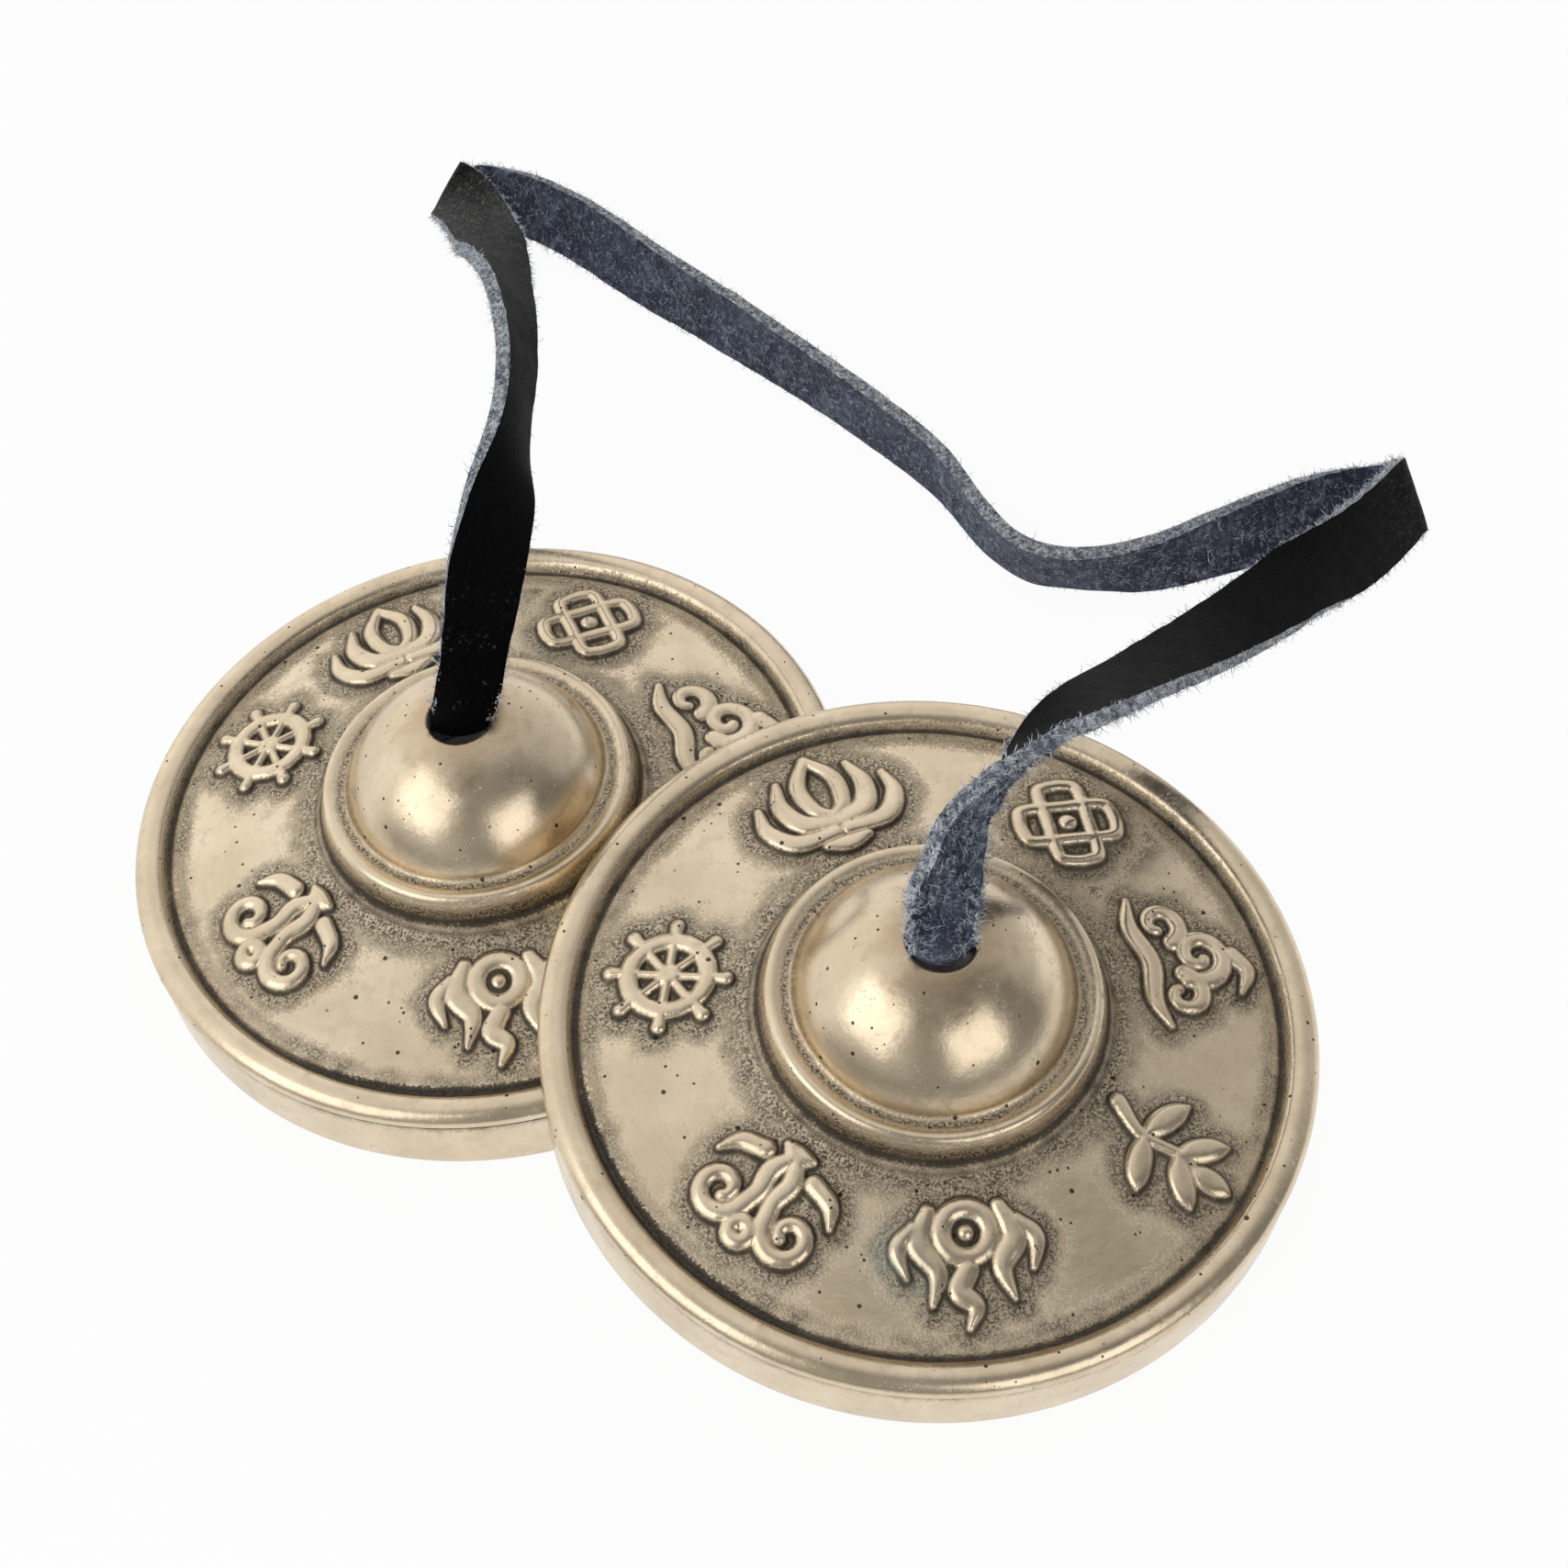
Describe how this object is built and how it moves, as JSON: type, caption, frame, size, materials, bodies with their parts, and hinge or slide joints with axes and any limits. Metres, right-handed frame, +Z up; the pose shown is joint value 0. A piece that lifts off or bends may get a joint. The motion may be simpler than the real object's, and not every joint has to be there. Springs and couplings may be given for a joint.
{
  "type": "tingsha",
  "caption": "Pair of small cast bronze hand cymbals with domed centres and beaded rims, joined by a flat leather thong; struck edge to edge for a long clear ring.",
  "frame": {"origin": "middle of the box round the two cymbals, on the surface they rest on", "axes": "+Z up; the thong runs out towards +Y and +X, and the leaning cymbal lies towards +X and -Y of the flat one"},
  "size_m": [0.1235, 0.1553, 0.0391],
  "materials": {
    "bronze_left": "polished cast bronze with dark patina in the low places",
    "bronze_right": "polished cast bronze with dark patina in the low places",
    "leather_strip": "black grain on one face, blue-grey flesh on the other",
    "leather_left_knot": "black leather, gathered",
    "leather_right_knot": "black leather, gathered"
  },
  "bodies": {
    "strap": {"strap": "leather_strip"},
    "knot_left": {"strap_knot_left": "leather_left_knot"},
    "knot_right": {"strap_knot_right": "leather_right_knot"},
    "cymbal_left": {"cymbal_left": "bronze_left"},
    "cymbal_right": {"cymbal_right": "bronze_right"}
  },
  "joints": [
    {"name": "left_tilt", "type": "hinge", "parent": "strap", "child": "knot_left", "pos_m": [-0.01774, 0.01632, 0.02021], "axis": [0.677, 0.7359, 0], "range_deg": [0, 15]},
    {"name": "left_swivel", "type": "hinge", "parent": "knot_left", "child": "cymbal_left", "pos_m": [-0.01774, 0.01632, 0.02021], "axis": [0, 0, 1], "continuous": true},
    {"name": "right_tilt", "type": "hinge", "parent": "strap", "child": "knot_right", "pos_m": [0.01951, -0.01794, 0.02489], "axis": [0.677, 0.7359, 0], "range_deg": [0, 15]},
    {"name": "right_swivel", "type": "hinge", "parent": "knot_right", "child": "cymbal_right", "pos_m": [0.01951, -0.01794, 0.02489], "axis": [0.1131, -0.1041, 0.9881], "continuous": true}
  ]
}
